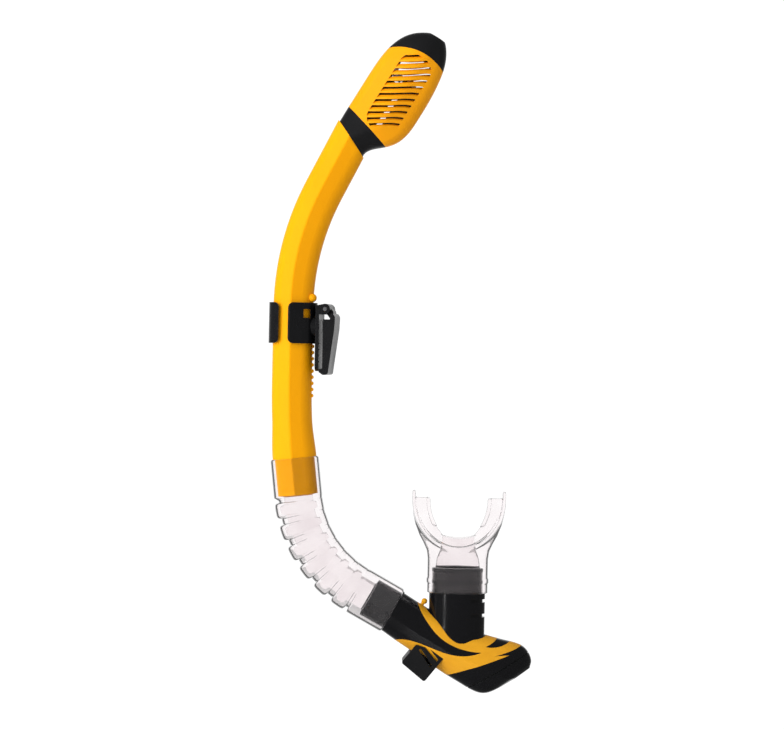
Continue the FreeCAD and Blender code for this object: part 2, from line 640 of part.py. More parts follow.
def chamber(skin):
    """Lower chamber with its inlet spigot, oval mouth tube and exhaust valve seat."""
    outer = chamber_body(0).cut(cover_side())
    tube = mouth_tube(0, MOUTH_LOW, MOUTH_SHOULDER).cut(chamber_body(CHAMBER_WALL))
    spigot = mouth_tube(2.0, MOUTH_SHOULDER, MOUTH_TOP)
    rings = [mouth_tube(0.3, low, low + 1.9) for low in MOUTH_RINGS]
    grooves = [(start - SOCKET_START, end - SOCKET_START) for start, end in INLET_GROOVES]
    inlet = grooved_spigot(-27.0, -SOCKET_START, grooves)
    inlet = placed(placed(inlet, HOSE_END), CHAMBER.inverse())
    body = fused([outer, tube, spigot, inlet] + rings).cut(skin)
    room = chamber_body(CHAMBER_WALL).common(block(30, FAR, -FAR, FAR, -FAR, FAR))
    bore = placed(placed(prism(disc(BORE_R), -34.0, 0), HOSE_END), CHAMBER.inverse())
    body = body.cut(room).cut(bore)
    body = body.cut(mouth_tube(MOUTH_WALL + 2.0, -12.0, MOUTH_TOP + 1))
    boss = seat_boss(VALVE_DISC_R + 0.8, VALVE_SEAT, -12.6).cut(chamber_body(CHAMBER_WALL))
    body = fused([body, boss])
    port = seat_boss(VALVE_PORT_R, VALVE_SEAT - 1, -10.0).cut(seat_boss(2.2, VALVE_SEAT - 1, -10.0))
    for angle in (0, 60, 120):
        spoke = block(-FAR / 8, FAR / 8, -0.6, 0.6, VALVE_SEAT - 2, -9.0)
        spoke.rotate(Vector(0, 0, 0), Vector(0, 0, 1), angle)
        spoke.translate(Vector(VALVE_X, 0, 0))
        port = port.cut(spoke)
    body = body.cut(port).cut(seat_boss(1.25, VALVE_SEAT - 1, -10.0))
    side = placed(placed(block(9.0, FAR, -FAR, FAR, -FAR, FAR), MOUTH), CHAMBER.inverse())
    for z in GRIP_NOTCHES:
        notch = mouth_tube(-1.0, z - 1.1, z + 1.1).cut(mouth_tube(1.5, z - 1.2, z + 1.2))
        body = body.cut(notch.common(side))
    return body


def accent_skin():
    """Soft overmoulded accent: the outer SKIN of the chamber's wall inside the flame outline."""
    skin = chamber_body(0).cut(chamber_body(SKIN)).cut(cover_side(-0.3))
    skin = skin.common(flame_prism())
    skin = skin.cut(mouth_tube(0, MOUTH_LOW, MOUTH_SHOULDER))
    return skin.cut(seat_boss(VALVE_DISC_R + 0.9, -FAR / 4, 0))


def accent_knob():
    """Small knob that locks the end of the soft accent, on top of the chamber."""
    stem = rod(1.2, Vector(40.4, 0, 11.0), Vector(40.9, 0, 14.6))
    return fused([stem, Part.makeSphere(1.9, Vector(41.0, 0, 15.6))])


def accent_sleeve(skin):
    knob = accent_knob().cut(chamber_body(SKIN))
    return fused([skin, knob])


def sump_cover():
    return shell_with_lip(chamber_body, CHAMBER_WALL, cover_side, 0.9, 3.0)


def sump_gasket():
    ring = chamber_body(0.5).cut(chamber_body(CHAMBER_WALL))
    return ring.common(cover_side(0.03)).cut(cover_side(0.87))


def exhaust_duct():
    body = duct_outside()
    room = slab(
        [(49.0, 0, 0), (68.6, 0, 0), (64.8, -40, 0), (48.6, -40, 0)],
        DUCT_HALF_D - DUCT_WALL,
    )
    seat_room = seat_boss(VALVE_DISC_R + 0.9, -30, 0)
    duct = body.cut(room).cut(chamber_body(0)).cut(seat_room)
    for (x0, z0), (x1, z1) in DUCT_SLOTS:
        lean = math.degrees(math.atan2(x1 - x0, z1 - z0))
        length = math.hypot(x1 - x0, z1 - z0)
        bar = block(-DUCT_SLOT_W / 2, DUCT_SLOT_W / 2, -FAR, FAR, 0, length)
        duct = duct.cut(placed(bar, at(x0, z0, lean)))
    return duct


def exhaust_flap():
    top = VALVE_SEAT - 0.05
    plate = Part.makeCylinder(VALVE_DISC_R, 1.2, Vector(VALVE_X, 0, top - 1.2))
    plate = softened(plate, 0.5, lambda e: abs(e.BoundBox.ZMin - top + 1.2) < 1e-3)
    stem = Part.makeCylinder(1.1, 6.4, Vector(VALVE_X, 0, top))
    bulb = Part.makeCone(1.9, 0.8, 1.6, Vector(VALVE_X, 0, top + 6.4))
    return fused([plate, stem, bulb])


# ---- mouthpiece ------------------------------------------------------------------------------
ARCH_A, ARCH_H, ARCH_BOTTOM = 30.4, 34.0, 27.0    # half width, height and lowest point of the lip shield
SHIELD_T = 2.2
FLARE = (                                 # half axes and height of the neck's widening
    (19.9, 14.4, 22.0),
    (20.6, 14.2, 27.0),
    (22.8, 13.2, 32.0),
    (25.5, 11.4, 37.0),
    (28.0, 8.4, 44.0),
    (29.3, 5.0, 51.0),
)
SHIELD_TOP = 66.3
SHIELD_TRIM = ((60, 15.0, 20), (60, 14.0, 45), (60, 7.5, SHIELD_TOP + 0.5))
WING_TOP, WING_T = 61.5, 4.0
WING_INSIDE = (19.0, 27.5)                # half axes of the arches that bound wings and ridges
RIDGE_OUTSIDE, RIDGE_INSIDE = (21.0, 29.0), (18.6, 26.6)
BEAD, BEAD_SPAN = (20.4, 14.9), (6.2, 9.4)
SPOUT = (13.2, 7.6)
MOUTH_BORE = (                            # half axes and height of the way through
    (15.6, 10.2, 15.5),
    (14.6, 8.6, 22),
    (10.8, 5.4, 31),
    (10.8, 5.4, 39),
)


def arch(a, h, top):
    """Lower half of an ellipse of half width a and half height h > a, with straight sides to top."""
    centre_z = ARCH_BOTTOM + ARCH_H
    ellipse = Part.Ellipse(Vector(0, 0, 0), h, a)
    curve = Part.Arc(ellipse, math.pi / 2, 3 * math.pi / 2).toShape()
    curve.rotate(Vector(0, 0, 0), Vector(0, 0, 1), 90)
    curve.rotate(Vector(0, 0, 0), Vector(1, 0, 0), 90)
    curve.translate(Vector(0, 0, centre_z))
    left, right = Vector(-a, 0, centre_z), Vector(a, 0, centre_z)
    up = Vector(0, 0, top - centre_z)
    edges = [
        curve,
        Part.makeLine(right, right + up),
        Part.makeLine(right + up, left + up),
        Part.makeLine(left + up, left),
    ]
    return Part.Face(Part.Wire(Part.__sortEdges__(edges)))


def through_y(face, half_depth):
    face = face.copy()
    face.translate(Vector(0, -half_depth, 0))
    return face.extrude(Vector(0, 2 * half_depth, 0))


def mouthpiece():
    """Silicone mouthpiece: neck, lip shield, the two bite wings with their ridges, and the spout."""
    over = SHIELD_TOP + 1
    outer = arch(ARCH_A, ARCH_H, SHIELD_TOP)
    inner = arch(ARCH_A - SHIELD_T, ARCH_H - SHIELD_T, over)
    trim = Part.makeLoft([oval(*section) for section in SHIELD_TRIM], True, False)
    shield = through_y(outer, 14.5).cut(through_y(inner, 30)).common(trim)
    flare = Part.makeLoft([oval(*section) for section in FLARE], True, False)
    flare = flare.cut(through_y(inner, 40))
    neck = prism(oval(*FLARE[0][:2]), -0.2, FLARE[0][2])
    bead = prism(oval(*BEAD), *BEAD_SPAN)
    wings = through_y(arch(ARCH_A - 0.5, ARCH_H - 0.5, WING_TOP), WING_T / 2)
    wings = wings.cut(through_y(arch(*WING_INSIDE, over), 30))
    wings = wings.cut(block(-9.6, 9.6, -30, 30, 34.5, 80))
    ridge = through_y(arch(*RIDGE_OUTSIDE, WING_TOP), 5.0)
    ridge = ridge.cut(through_y(arch(*RIDGE_INSIDE, over), 30))
    ridge = ridge.cut(block(-10.4, 10.4, -30, 30, 20, 80))
    ridge = ridge.common(block(-40, 40, -6, 6, 43.0, 80))
    spout = prism(oval(*SPOUT), 27.0, 38.6)
    body = fused([neck, bead, flare, shield, wings, ridge, spout])
    bore = Part.makeLoft([oval(*section) for section in MOUTH_BORE], True, False)
    body = body.cut(bore)
    cuff = prism(oval(MOUTH_A - 0.25, MOUTH_B - 0.25), -1, MOUTH_TOP + 0.1)
    return body.cut(cuff)


# ---- mask keeper -----------------------------------------------------------------------------
def keeper_collar():
    """Split clip round the barrel, with a boss for the buckle's pivot and a rack window."""
    half = KEEPER_H / 2
    grown = 2 * (KEEPER_GAP + KEEPER_T)
    inner = ridged(BARREL_W + 2 * KEEPER_GAP, BARREL_D + 2 * KEEPER_GAP)
    outer = ridged(BARREL_W + grown, BARREL_D + grown)
    ring = prism(outer, -half, half)
    boss = placed(rod(7.4, Vector(8, 0, SWIVEL_Z), Vector(16.2, 0, SWIVEL_Z)), BUCKLE)
    ring = fused([ring, boss])
    ring = ring.cut(prism(inner, -FAR, FAR))
    rack_half = RACK_LEN / 2 + 0.5
    ring = ring.cut(block(12, BARREL_W / 2 + 1.5, -rack_half, rack_half, -FAR, FAR))
    left, right = KEEPER_MOUTH
    ring = ring.cut(block(left, right, -FAR, 0, -FAR, FAR))
    front = slab([(right, -half, 3.5), (30, -half, 0), (30, half, 0), (right, half, 3.5)], 0, -FAR)
    back = slab([(-30, -half, 0), (left, -half, 3.0), (left, half, 3.0), (-30, half, 0)], 0, -FAR)
    ring = ring.common(fused([front, back, block(-FAR, FAR, 0, FAR, -half, half)]))
    window = block(7.0, 11.4, -FAR, 0, 3.4, 9.0)
    ring = ring.cut(window)
    hole = placed(rod(SWIVEL_R, Vector(0, 0, SWIVEL_Z), Vector(30, 0, SWIVEL_Z)), BUCKLE)
    return ring.cut(hole)


def swivel_pin():
    shaft = rod(SWIVEL_R, Vector(14.8, 0, SWIVEL_Z), Vector(PLATE_OUT - 0.2, 0, SWIVEL_Z))
    head = rod(4.0, Vector(PLATE_OUT - 1.3, 0, SWIVEL_Z), Vector(PLATE_OUT - 0.1, 0, SWIVEL_Z))
    return fused([shaft, head])


def strap_plate():
    """Inner plate of the buckle, with the two hinge ears of the gate."""
    hx, hz = GATE_HINGE
    plate = block(PLATE_IN, PLATE_OUT, -BUCKLE_HALF_W, BUCKLE_HALF_W, -31.0, 11.5)
    plate = softened(plate, 4.0, lambda e: e.BoundBox.XLength > 2 and e.BoundBox.ZMax < -30)
    outline = [
        (PLATE_IN, 5.9, 0),
        (hx, hz - GATE_HINGE_R, 0),
        (hx, hz + GATE_HINGE_R, 0),
        (PLATE_IN, 11.5, 0),
    ]
    ears = []
    for side in (-1, 1):
        y0, y1 = sorted((side * HINGE_IN, side * BUCKLE_HALF_W))
        knuckle = rod(GATE_HINGE_R, Vector(hx, y0, hz), Vector(hx, y1, hz))
        ears.append(slab(outline, y1, y0).fuse(knuckle))
    plate = fused([plate] + ears)
    gate_room = rod(GATE_HINGE_R + 0.35, Vector(hx, -HINGE_IN, hz), Vector(hx, HINGE_IN, hz))
    plate = plate.cut(gate_room)
    plate = plate.cut(rod(GATE_PIN_R, Vector(hx, -20, hz), Vector(hx, 20, hz)))
    plate = plate.cut(rod(SWIVEL_R + PIVOT_GAP, Vector(0, 0, SWIVEL_Z), Vector(30, 0, SWIVEL_Z)))
    plate = plate.cut(rod(4.2, Vector(PLATE_OUT - 1.4, 0, SWIVEL_Z), Vector(30, 0, SWIVEL_Z)))
    rib_x = PLATE_OUT - 0.1
    ribs = [rod(0.5, Vector(rib_x, -7.5, z), Vector(rib_x, 7.5, z)) for z in STRAP_RIBS]
    return fused([plate] + ribs)


def strap_gate():
    """Outer lever of the buckle: it swings out to let the strap in, and its lip closes on the plate's end."""
    hx, hz = GATE_HINGE
    body = slab(
        [
            (GATE_IN, 2.6, 0.4),
            (GATE_IN, -29.2, 0.4),
            (19.3, -29.8, 0.3),
            (19.3, -31.6, 0.3),
            (22.0, -33.4, 1.2),
            (25.2, -33.0, 1.6),
            (29.0, -4.0, 8.0),
            (29.4, 4.4, 3.0),
            (27.4, 7.2, 1.0),
            (26.4, 5.6, 0.4),
            (26.0, 2.6, 0.4),
        ],
        BUCKLE_HALF_W,
    )
    knuckle = rod(GATE_HINGE_R, Vector(hx, -KNUCKLE_HALF, hz), Vector(hx, KNUCKLE_HALF, hz))
    bridge = slab(
        [
            (hx, hz + 3.0, 0),
            (hx + 0.6, hz - 3.3, 0),
            (25.6, 3.0, 0),
            (28.4, 3.6, 0),
            (27.2, 8.4, 1.5),
        ],
        KNUCKLE_HALF,
    )
    gate = fused([body, knuckle, bridge])
    slot = slab([(25.4, 9.9, 0), (15, 9.9, 0), (15, 2.61, 0), (25.4, 2.61, 0)], 40)
    gate = gate.cut(slot.cut(knuckle).cut(bridge))
    return gate.cut(rod(GATE_PIN_R + PIVOT_GAP, Vector(hx, -20, hz), Vector(hx, 20, hz)))


def gate_pin():
    hx, hz = GATE_HINGE
    return rod(GATE_PIN_R, Vector(hx, -BUCKLE_HALF_W, hz), Vector(hx, BUCKLE_HALF_W, hz))


# ---- export ----------------------------------------------------------------------------------
def main():
    skin = accent_skin()
    parts = {
        "barrel": barrel(),
        "dry_top_base": placed(dry_top_base(), HEAD),
        "base_seal_ring": base_seal(),
        "vent_housing": placed(vent_housing(), HEAD),
        "top_cap": placed(top_cap(), HEAD),
        "float_block": placed(float_block(), HEAD),
        "valve_lever": placed(valve_lever(), HEAD),
        "seal_flap": placed(seal_flap(), HEAD),
        "lever_pin": placed(lever_pin(), HEAD),
        "flex_hose": flex_hose(),
        "chamber": placed(chamber(skin), CHAMBER),
        "accent_sleeve": placed(accent_sleeve(skin), CHAMBER),
        "sump_cover": placed(sump_cover(), CHAMBER),
        "sump_gasket": placed(sump_gasket(), CHAMBER),
        "exhaust_duct": placed(exhaust_duct(), CHAMBER),
        "exhaust_flap": placed(exhaust_flap(), CHAMBER),
        "mouthpiece": placed(mouthpiece(), MOUTH),
        "keeper_collar": keeper_collar(),
        "swivel_pin": placed(swivel_pin(), BUCKLE),
        "strap_plate": placed(strap_plate(), BUCKLE),
        "strap_gate": placed(strap_gate(), BUCKLE),
        "gate_pin": placed(gate_pin(), BUCKLE),
    }
    os.makedirs("parts", exist_ok=True)
    for name, shape in parts.items():
        solids = shape.Solids
        print(name, len(solids), round(shape.Volume), shape.isValid())
        shape.exportStep("parts/" + name + ".step")


main()
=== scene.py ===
"""Looks of the dry-top snorkel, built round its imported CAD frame.

Metres, in the CAD's row frame. Lengths of the snorkel's own parts are written in millimetres and
scaled by MM. The hose and the mouthpiece are new meshes; every other piece is its CAD node with a
procedural material.
"""
import math

import bpy
import numpy as np
import openvdb
from mathutils import Euler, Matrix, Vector


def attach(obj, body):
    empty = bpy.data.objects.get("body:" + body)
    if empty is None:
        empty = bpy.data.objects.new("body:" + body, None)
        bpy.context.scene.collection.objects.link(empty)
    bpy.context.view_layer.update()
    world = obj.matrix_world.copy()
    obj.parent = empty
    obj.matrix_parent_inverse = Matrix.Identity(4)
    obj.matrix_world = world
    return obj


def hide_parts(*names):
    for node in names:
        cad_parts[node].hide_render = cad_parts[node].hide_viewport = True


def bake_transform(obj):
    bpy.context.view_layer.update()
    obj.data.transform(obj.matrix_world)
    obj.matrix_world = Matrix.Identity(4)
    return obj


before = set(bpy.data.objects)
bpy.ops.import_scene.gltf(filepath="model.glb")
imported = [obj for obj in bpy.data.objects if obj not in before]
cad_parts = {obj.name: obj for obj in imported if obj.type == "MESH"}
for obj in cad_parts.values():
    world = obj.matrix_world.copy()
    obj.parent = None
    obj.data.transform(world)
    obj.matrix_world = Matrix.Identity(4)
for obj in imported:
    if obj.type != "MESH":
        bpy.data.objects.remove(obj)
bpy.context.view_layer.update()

MM = 0.001
SCENE = bpy.context.scene

# ---- the CAD's own dimensions, in millimetres and degrees ------------------------------------
STRAIGHT_LOW = -40.0
LOWER_BEND_R, LOWER_BEND = 420.0, 6.5
SPIGOT_LEN, SPIGOT_W = 24.0, 28.6
HOSE_R, HOSE_TURN, HOSE_W = 78.0, 54.65, 32.0
HOSE_LOBES, HOSE_NECK, CUFF_LEN, CUFF_GAP = 6, 2.0, 26.0, 0.3
SOCKET_START = 8.7
LOBE_LEAD, LOBE_SHARE = 0.14, 0.74
WAIST_W, WAIST_D, WAIST_SHIFT = 29.0, 29.4, 1.3
BORE_R = 10.5
RIDGE_SHIFT, RIDGE_R = -0.06, 2.0
FLATS = (29.0, 19.0)
MOUTH_X = 64.6

# ---- the silicone's fit on the tube ends -----------------------------------------------------
STRETCH = 0.15                  # a cuff's socket is this much smaller all round than the end it grips
SOCKET_LIP = 0.9                # its mouth opens by this much


# ---- frames ----------------------------------------------------------------------------------
class Spot:
    """Place on the tube's path: a point (x, z) in millimetres and a heading from +Z towards +X."""

    def __init__(self, x, z, heading):
        self.x, self.z, self.heading = x, z, heading

    def across(self):
        a = math.radians(self.heading)
        return np.array((math.cos(a), 0.0, -math.sin(a)))

    def along(self):
        a = math.radians(self.heading)
        return np.array((math.sin(a), 0.0, math.cos(a)))

    def point(self):
        return np.array((self.x, 0.0, self.z))

    def stepped(self, length):
        p = self.point() + length * self.along()
        return Spot(p[0], p[2], self.heading)

    def turned(self, radius, angle):
        """Reached along an arc whose centre lies radius along the local +X."""
        centre = self.point() + radius * self.across()
        end = Spot(0, 0, self.heading + angle)
        p = centre - radius * end.across()
        return Spot(p[0], p[2], end.heading)

    def place(self, xy):
        """Section points (x, y) as row points in millimetres."""
        xy = np.asarray(xy)
        return self.point() + np.outer(xy[:, 0], self.across()) + np.outer(xy[:, 1], (0, 1, 0))


SPIGOT_TOP = Spot(0, STRAIGHT_LOW, 0).turned(LOWER_BEND_R, -LOWER_BEND)
BARREL_END = SPIGOT_TOP.stepped(-SPIGOT_LEN)
HOSE_START = BARREL_END.stepped(-HOSE_NECK)
HOSE_END = HOSE_START.turned(HOSE_R, -HOSE_TURN)
HOSE_ARC = HOSE_R * math.radians(HOSE_TURN)
TOP_CUFF = SPIGOT_LEN + HOSE_NECK
MOUTH = Spot(HOSE_END.x + MOUTH_X, HOSE_END.z, 0)


def hose_spot(s):
    """Spot at distance s down the hose from the upper cuff's end."""
    if s < TOP_CUFF:
        return HOSE_START.stepped(TOP_CUFF - s)
    if s < TOP_CUFF + HOSE_ARC:
        return HOSE_START.turned(HOSE_R, -math.degrees((s - TOP_CUFF) / HOSE_R))
    return HOSE_END.stepped(-(s - TOP_CUFF - HOSE_ARC))


# ---- mesh helpers ----------------------------------------------------------------------------
def new_mesh(name, points, faces):
    mesh = bpy.data.meshes.new(name)
    mesh.from_pydata([tuple(p) for p in points], [], [tuple(f) for f in faces])
    mesh.validate()
    mesh.update()
    mesh.polygons.foreach_set("use_smooth", [True] * len(mesh.polygons))
    piece = bpy.data.objects.new(name, mesh)
    SCENE.collection.objects.link(piece)
    return piece


def ridged_outline(width, depth, centre):
    """The tube's section as a closed polyline: two round sides and flats that meet in two ridges."""
    ridge_x = centre + RIDGE_SHIFT * width
    corners = []
    for side, flat in ((1, FLATS[1]), (-1, FLATS[0])):
        slope = math.radians(flat)
        apex = ridge_x + side * depth / 2 / math.tan(slope)
        edge = centre + side * width / 2
        corners.append((apex, 0.0, abs(apex - edge) / (1 / math.sin(slope) - 1)))
    ring = [corners[0], (ridge_x, depth / 2, RIDGE_R), corners[1], (ridge_x, -depth / 2, RIDGE_R)]
    points = []
    for i, (x, y, r) in enumerate(ring):
        here = np.array((x, y))
        back = np.array(ring[i - 1][:2]) - here
        on = np.array(ring[(i + 1) % 4][:2]) - here
        back /= np.linalg.norm(back)
        on /= np.linalg.norm(on)
        half = math.acos(np.clip(back @ on, -1, 1)) / 2
        middle = (back + on) / np.linalg.norm(back + on)
        hub = here + middle * r / math.sin(half)
        first = here + back * r / math.tan(half) - hub
        last = here + on * r / math.tan(half) - hub
        a0, a1 = math.atan2(first[1], first[0]), math.atan2(last[1], last[0])
        turn = (a1 - a0 + math.pi) % (2 * math.pi) - math.pi
        for t in np.linspace(0, 1, 25):
            a = a0 + turn * t
            points.append(hub + r * np.array((math.cos(a), math.sin(a))))
    return np.array(points)


def ridged_ring(width, depth, centre, count):
    """count points round the section, at even angles about its centre."""
    outline = ridged_outline(width, depth, centre) - np.array((centre, 0.0))
    angle = np.arctan2(outline[:, 1], outline[:, 0])
    order = np.argsort(angle)
    angle, radius = angle[order], np.hypot(*outline.T)[order]
    wanted = np.linspace(-math.pi, math.pi, count, endpoint=False)
    nxt = np.searchsorted(angle, wanted) % len(angle)
    prv = nxt - 1
    a0, a1 = angle[prv], angle[nxt]
    r0, r1 = radius[prv], radius[nxt]
    p0 = np.stack((r0 * np.cos(a0), r0 * np.sin(a0)), 1)
    p1 = np.stack((r1 * np.cos(a1), r1 * np.sin(a1)), 1)
    ray = np.stack((np.cos(wanted), np.sin(wanted)), 1)
    side = p1 - p0
    cross = ray[:, 0] * side[:, 1] - ray[:, 1] * side[:, 0]
    reach = (p0[:, 0] * side[:, 1] - p0[:, 1] * side[:, 0]) / np.where(abs(cross) < 1e-9, 1e-9, cross)
    return ray * reach[:, None] + np.array((centre, 0.0))


def tube_faces(rings, count):
    """Quads between successive rings of count points, and from the last ring back to the first."""
    faces = []
    for i in range(rings):
        a, b = i * count, (i + 1) % rings * count
        for j in range(count):
            k = (j + 1) % count
            faces.append((a + j, a + k, b + k, b + j))
    return faces


# ---- flexible hose ---------------------------------------------------------------------------
HOSE_SIDES = 128                # points round the hose
POCKET_WALL = 2.6               # silicone left over a lobe's pocket
POCKET_TRIM = 0.13              # the pocket is shorter than its lobe by this share of a pitch at both ends


def smooth_step(x):
    x = min(1.0, max(0.0, x))
    return x * x * (3 - 2 * x)


def lobe_height(s, trim, power):
    """1 on top of a lobe and 0 between lobes at distance s; trim shortens the lobe at both ends."""
    t = (s - TOP_CUFF) / HOSE_ARC * HOSE_LOBES
    if t < 0 or t > HOSE_LOBES:
        return 0.0
    middle = LOBE_LEAD + LOBE_SHARE / 2
    half = LOBE_SHARE / 2 - trim
    u = abs(t % 1.0 - middle) / half
    return (1 - u ** power) ** 0.5 if u < 1 else 0.0


def hose_outside(s):
    """Width, depth and centre of the hose's outer section at distance s."""
    total = TOP_CUFF + HOSE_ARC + CUFF_LEN
    end = min(s, total - s)
    lip = 1.0 - smooth_step(end / 1.0)
    cuff = smooth_step((TOP_CUFF + 0.2 - s) / 0.5) + smooth_step((s - TOP_CUFF - HOSE_ARC + 0.2) / 0.5)
    h = max(cuff, lobe_height(s, 0.0, 6))
    width = WAIST_W + (HOSE_W - WAIST_W) * h - 1.0 * lip
    depth = WAIST_D + (HOSE_W - 1 - WAIST_D) * h - 1.0 * lip
    return width, depth, WAIST_SHIFT * (1 - h)


def hose_inside(s):
    """Inner section: spigot sockets in the cuffs, a round bore with a pocket in each lobe between."""
    total = TOP_CUFF + HOSE_ARC + CUFF_LEN
    socket = max(
        1.0 - smooth_step((s - SPIGOT_LEN - CUFF_GAP) / 0.6 + 0.5),
        smooth_step((s - total + CUFF_LEN - SOCKET_START + CUFF_GAP) / 0.6 + 0.5),
    )
    lip = 1.0 - smooth_step(min(s, total - s) / 0.8)
    h = lobe_height(s, POCKET_TRIM, 4)
    pocket = 2 * BORE_R + h * (HOSE_W - 2 * POCKET_WALL - 2 * BORE_R)
    fit = SPIGOT_W - 2 * STRETCH + SOCKET_LIP * lip
    width = pocket + (fit - pocket) * socket
    depth = pocket - 0.6 * h + (fit - 1 - pocket + 0.6 * h) * socket
    return width, depth, -0.5 * h * (1 - socket)


def hose_stations():
    """Distances down the hose, close together at the lobes' edges."""
    total = TOP_CUFF + HOSE_ARC + CUFF_LEN
    pitch = HOSE_ARC / HOSE_LOBES
    marks = [0, 0.25, 0.5, 0.8, 1.2, 4, 8, 12, 16, 20, 23.6, 24.0, 24.3, 24.6, 25.0]
    for i in range(HOSE_LOBES):
        low = TOP_CUFF + pitch * (i + LOBE_LEAD)
        long = pitch * LOBE_SHARE
        marks += [low - 0.9, low - 0.45]
        marks += [low + long * (0.5 - 0.5 * math.cos(math.pi * k / 26)) for k in range(27)]
        marks += [low + long + 0.45, low + long + 0.9]
    tail = total - CUFF_LEN
    marks += [tail - 0.4, tail - 0.2, tail, tail + 0.3, tail + 2, tail + 5, tail + 7.8, tail + 8.1]
    marks += [tail + 8.4, tail + 8.7, tail + 9.1, tail + 12, tail + 16, tail + 20, tail + 24]
    marks += [total - 1.2, total - 0.8, total - 0.5, total - 0.25, total]
    return sorted(marks)


def flexible_hose():
    marks = hose_stations()
    points = []
    for s in marks:
        points.append(hose_spot(s).place(ridged_ring(*hose_outside(s), HOSE_SIDES)))
    for s in reversed(marks):
        width, depth, centre = hose_inside(s)
        ring = ridged_ring(width, depth, centre, HOSE_SIDES)
        socket = s < SPIGOT_LEN + 0.5 or s > TOP_CUFF + HOSE_ARC + SOCKET_START - 0.5
        if not socket:
            angle = np.linspace(-math.pi, math.pi, HOSE_SIDES, endpoint=False)
            round_ring = np.stack((np.cos(angle), np.sin(angle)), 1) * width / 2 + (centre, 0)
            share = min(1.0, (width - 2 * BORE_R) / 4.0)
            ring = round_ring * (1 - share) + ring * share
        points.append(hose_spot(s).place(ring))
    faces = tube_faces(2 * len(marks), HOSE_SIDES)
    return new_mesh("hose", np.concatenate(points) * MM, faces)


# ---- mouthpiece ------------------------------------------------------------------------------
VOXEL = 0.4
GRID_LOW, GRID_HIGH = (-33.0, -18.0, -2.5), (33.0, 18.0, 69.0)
ARCH_A, ARCH_H, ARCH_BOTTOM, SHIELD_T = 30.4, 34.0, 27.0, 2.2
SHIELD_TOP = 66.3
NECK_Z = (-0.2, 22.0, 27.0, 32.0, 37.0, 44.0, 51.0)         # heights of the neck's half axes
NECK_A = (19.9, 19.9, 20.6, 22.8, 25.5, 28.0, 29.3)
NECK_B = (14.4, 14.4, 14.2, 13.2, 11.4, 8.4, 5.0)
BEAD, BEAD_SPAN = (20.4, 14.9), (6.2, 9.4)
SHIELD_Z, SHIELD_HALF_D = (20, 45, 66.8), (14.8, 14.0, 7.8)
WING_INSIDE, WING_HALF_T, WING_TOP = (19.0, 27.5), 2.0, 61.5
WING_GAP, WING_GAP_TOP = 9.6, 34.5                          # no wing between these in front of the mouth
RIDGE_OUTSIDE, RIDGE_INSIDE = (21.0, 29.0), (18.6, 26.6)
RIDGE_HALF_D, RIDGE_GAP, RIDGE_LOW = 5.0, 10.4, 43.0
SPOUT, SPOUT_LOW, SPOUT_TOP, SPOUT_CURL = (13.2, 7.6), 26.0, 35.6, 2.6
BORE_Z, BORE_A, BORE_B = (15.5, 22.0, 31.0, 39.0), (15.6, 14.6, 10.8, 10.8), (10.2, 8.6, 5.4, 5.4)
BORE_LOW = 15.0
SOCKET, SOCKET_TOP = (17.75, 12.15), 15.9


def oval_distance(x, y, a, b):
    k = np.sqrt((x / a) ** 2 + (y / b) ** 2) + 1e-6
    slope = np.sqrt((x / (a * a)) ** 2 + (y / (b * b)) ** 2) / k + 1e-9
    return (k - 1) / slope


def smooth_min(a, b, k):
    h = np.clip(0.5 + 0.5 * (b - a) / k, 0, 1)
    return b + (a - b) * h - k * h * (1 - h)


def smooth_max(a, b, k):
    return -smooth_min(-a, -b, k)


def arch_distance(x, z, a, h):
    """Distance to a half ellipse open to the top, whose lowest point is h below its centre."""
    centre = ARCH_BOTTOM + ARCH_H
    below = oval_distance(x, z - centre, a, h)
    return np.where(z < centre, below, np.abs(x) - a)


def span(v, low, high):
    return np.maximum(low - v, v - high)


